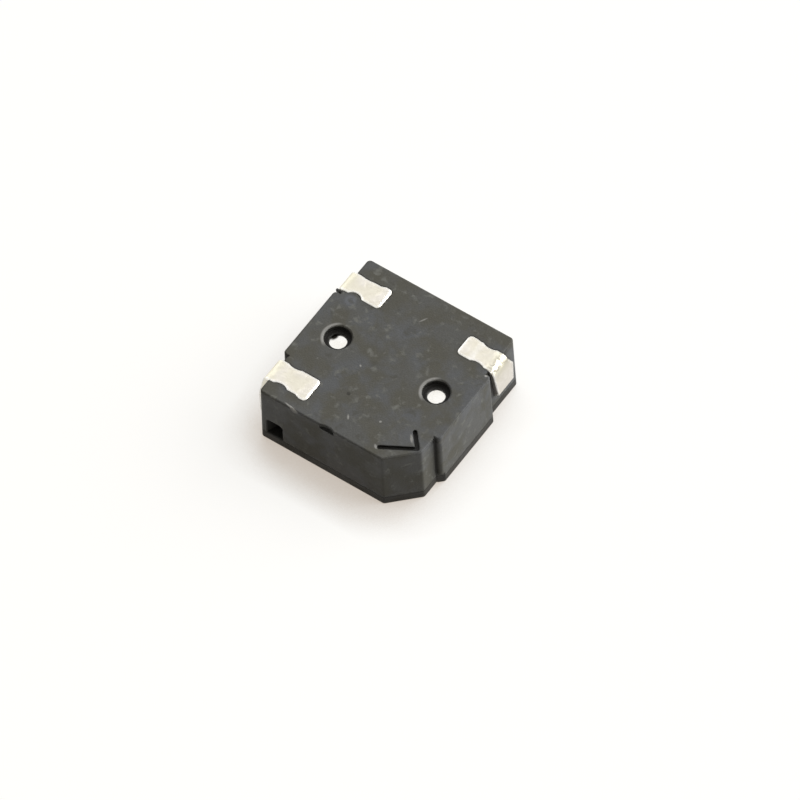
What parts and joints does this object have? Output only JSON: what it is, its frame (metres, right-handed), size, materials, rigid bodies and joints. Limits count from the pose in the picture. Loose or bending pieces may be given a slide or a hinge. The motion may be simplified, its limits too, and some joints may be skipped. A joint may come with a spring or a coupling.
{
  "type": "magnetic buzzer",
  "caption": "Square surface-mount magnetic buzzer: a black moulded body with a side sound port, an index corner and wrap-around solder terminals on its face.",
  "frame": {"origin": "centre of the cover's outer face, which the part lies on", "axes": "+Z out of the terminal face, -Y out of the wall with the sound port, +X out of the side wall next to the index corner"},
  "size_m": [0.005, 0.005, 0.0021],
  "materials": {
    "housing_moulding": "fine matt, moulded liquid crystal polymer",
    "cover_moulding": "fine matt, moulded liquid crystal polymer",
    "tin_plate": "satin tin plating on brass strip",
    "plated_iron": "nickel plated iron",
    "enamelled_wire": "clear enamel on copper wire",
    "magnet_plate": "nickel plated sintered magnet",
    "diaphragm_alloy": "rolled nickel iron alloy",
    "epoxy": "cured epoxy",
    "solder": "bright solder"
  },
  "bodies": {
    "root": {"housing": "housing_moulding", "cover": "cover_moulding", "terminal_1": "tin_plate", "terminal_2": "tin_plate", "terminal_3": "tin_plate", "yoke_plate": "plated_iron", "pole_core": "plated_iron", "coil_winding": "enamelled_wire", "coil_lead_1": "enamelled_wire", "coil_lead_2": "enamelled_wire", "ring_magnet": "magnet_plate", "diaphragm": "diaphragm_alloy", "armature_disc": "diaphragm_alloy", "coil_glue": "epoxy", "magnet_glue": "epoxy", "solder_joint_1": "solder", "solder_joint_2": "solder"}
  },
  "joints": []
}
